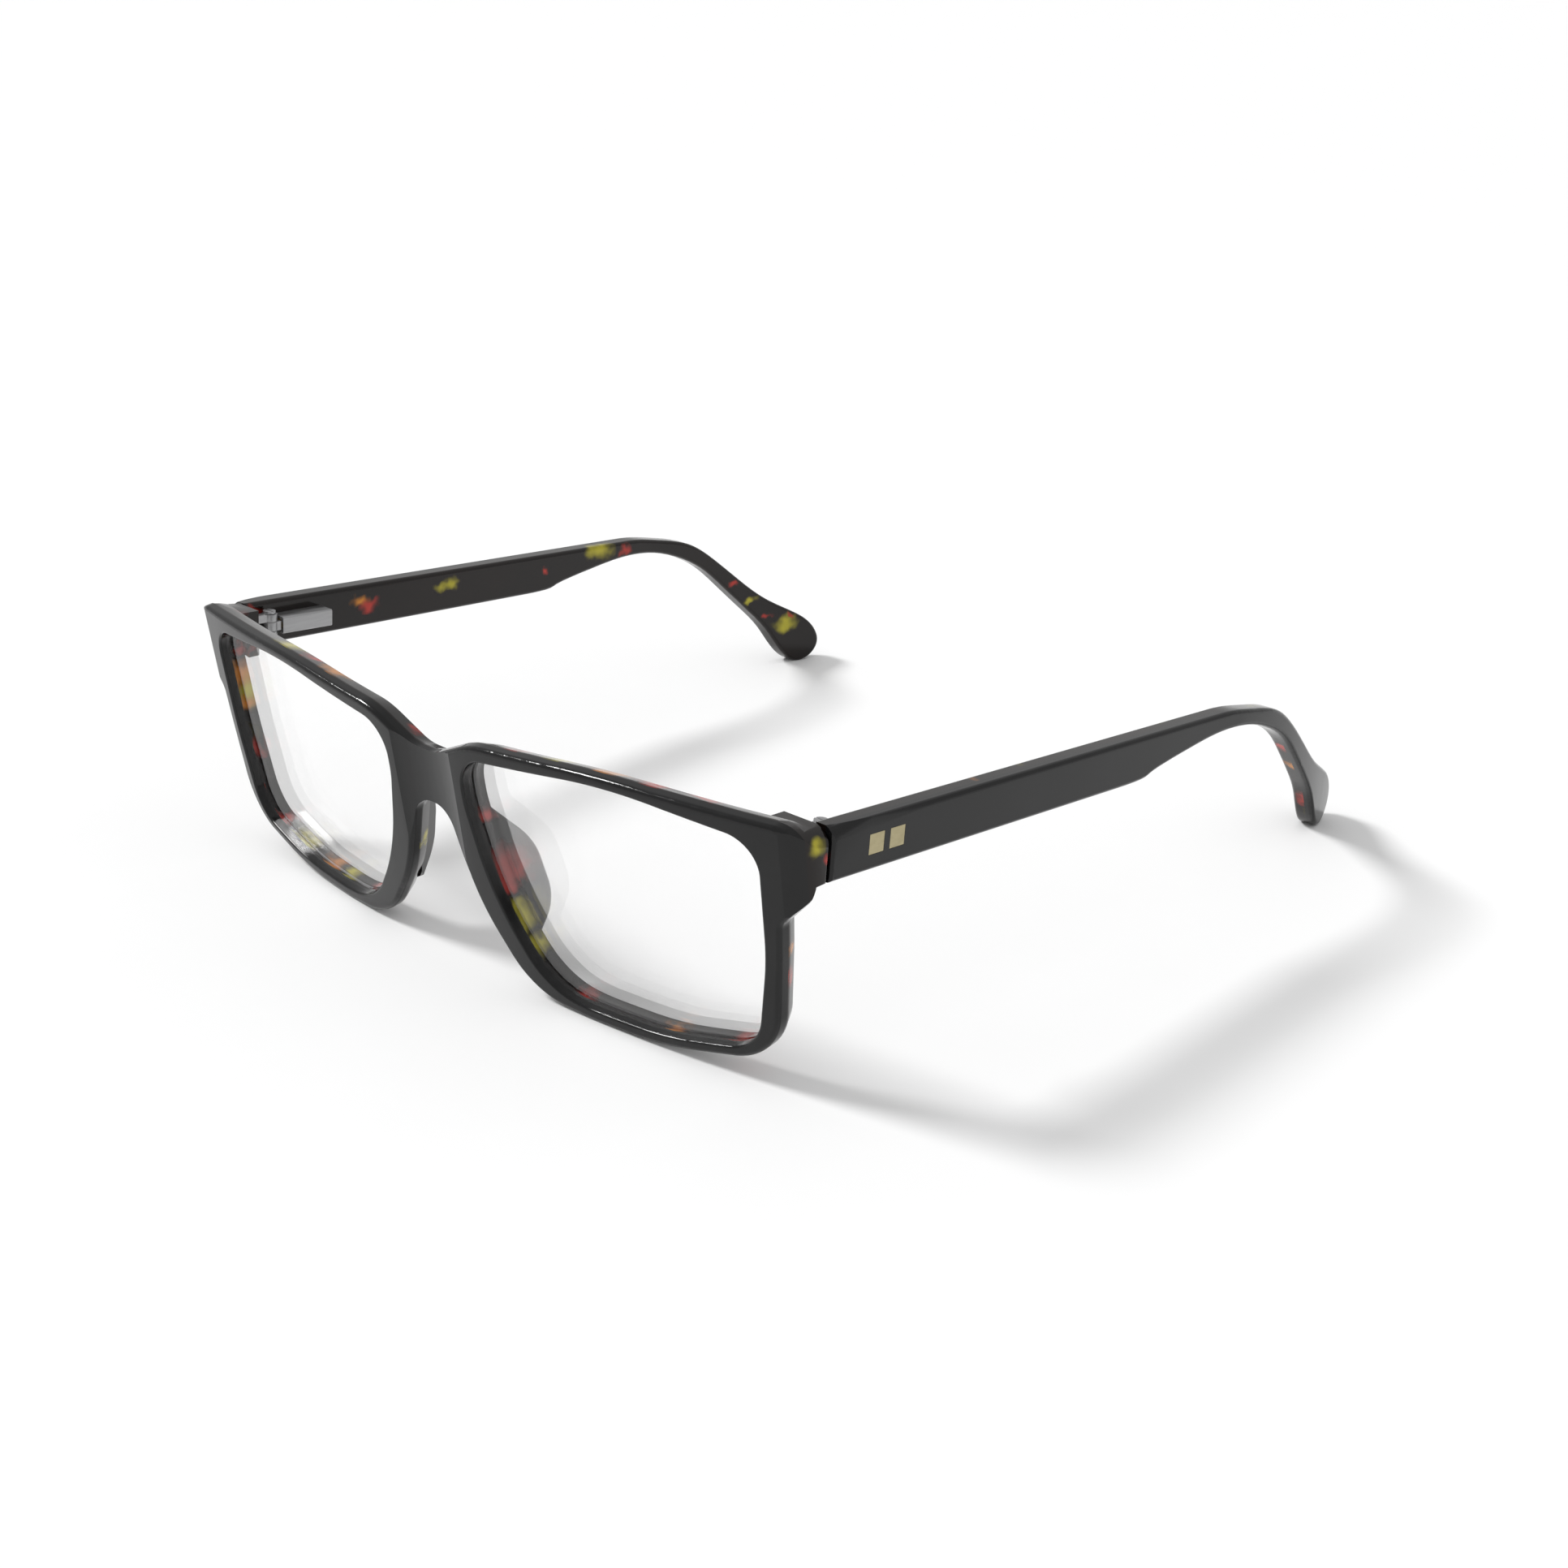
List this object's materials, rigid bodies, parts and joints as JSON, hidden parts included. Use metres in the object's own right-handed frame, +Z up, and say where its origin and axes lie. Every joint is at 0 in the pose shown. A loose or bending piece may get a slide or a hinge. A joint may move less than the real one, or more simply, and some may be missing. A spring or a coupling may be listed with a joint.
{
  "type": "eyeglasses",
  "caption": "Rectangular full-rim eyeglasses of layered black and tortoise acetate, with clear lenses and spring-hinged temples that fold and flex.",
  "frame": {"origin": "under the middle of the open eyeglasses, on the surface that they rest on", "axes": "+Z up; the lenses face -Y and the temples run back along +Y; +X is the wearer's left"},
  "size_m": [0.1426, 0.1578, 0.0419],
  "materials": {
    "black_acetate": "polished black acetate",
    "tortoise_acetate": "polished dark tortoise acetate with amber, olive and red blotches",
    "lens": "clear plain lens",
    "hinge_steel": "satin nickel silver",
    "spring_steel": "drawn steel",
    "brass": "turned brass",
    "inlay": "matt khaki metal"
  },
  "bodies": {
    "front": {"front_outer_layer": "black_acetate", "front_inner_layer": "tortoise_acetate", "lens_left": "lens", "lens_right": "lens", "nose_pad_left": "tortoise_acetate", "nose_pad_right": "tortoise_acetate", "hinge_leaf_left": "hinge_steel", "hinge_leaf_right": "hinge_steel", "hinge_screw_left": "hinge_steel", "hinge_screw_right": "hinge_steel"},
    "slider_left": {"hinge_slider_left": "hinge_steel", "rod_nut_left": "hinge_steel"},
    "temple_left": {"temple_outer_layer_left": "black_acetate", "temple_inner_layer_left": "tortoise_acetate", "inlay_front_left": "inlay", "inlay_rear_left": "inlay", "core_wire_left": "spring_steel", "spring_case_left": "hinge_steel", "guide_bush_left": "brass", "flex_spring_left": "spring_steel"},
    "slider_right": {"hinge_slider_right": "hinge_steel", "rod_nut_right": "hinge_steel"},
    "temple_right": {"temple_outer_layer_right": "black_acetate", "temple_inner_layer_right": "tortoise_acetate", "inlay_front_right": "inlay", "inlay_rear_right": "inlay", "core_wire_right": "spring_steel", "spring_case_right": "hinge_steel", "guide_bush_right": "brass", "flex_spring_right": "spring_steel"}
  },
  "joints": [
    {"name": "fold_left", "type": "hinge", "parent": "front", "child": "slider_left", "pos_m": [0.0626, -0.06122, 0.03624], "axis": [0, 0.0576, 0.9983], "range_deg": [-6, 92]},
    {"name": "slide_left", "type": "slide", "parent": "slider_left", "child": "temple_left", "axis": [0, 0.9983, -0.0576], "range_m": [0, 0.0012], "stiffness_N_per_m": 800, "deforming": ["flex_spring_left"]},
    {"name": "fold_right", "type": "hinge", "parent": "front", "child": "slider_right", "pos_m": [-0.0626, -0.06122, 0.03624], "axis": [0, -0.0576, -0.9983], "range_deg": [-6, 81]},
    {"name": "slide_right", "type": "slide", "parent": "slider_right", "child": "temple_right", "axis": [0, 0.9983, -0.0576], "range_m": [0, 0.0012], "stiffness_N_per_m": 800, "deforming": ["flex_spring_right"]}
  ]
}
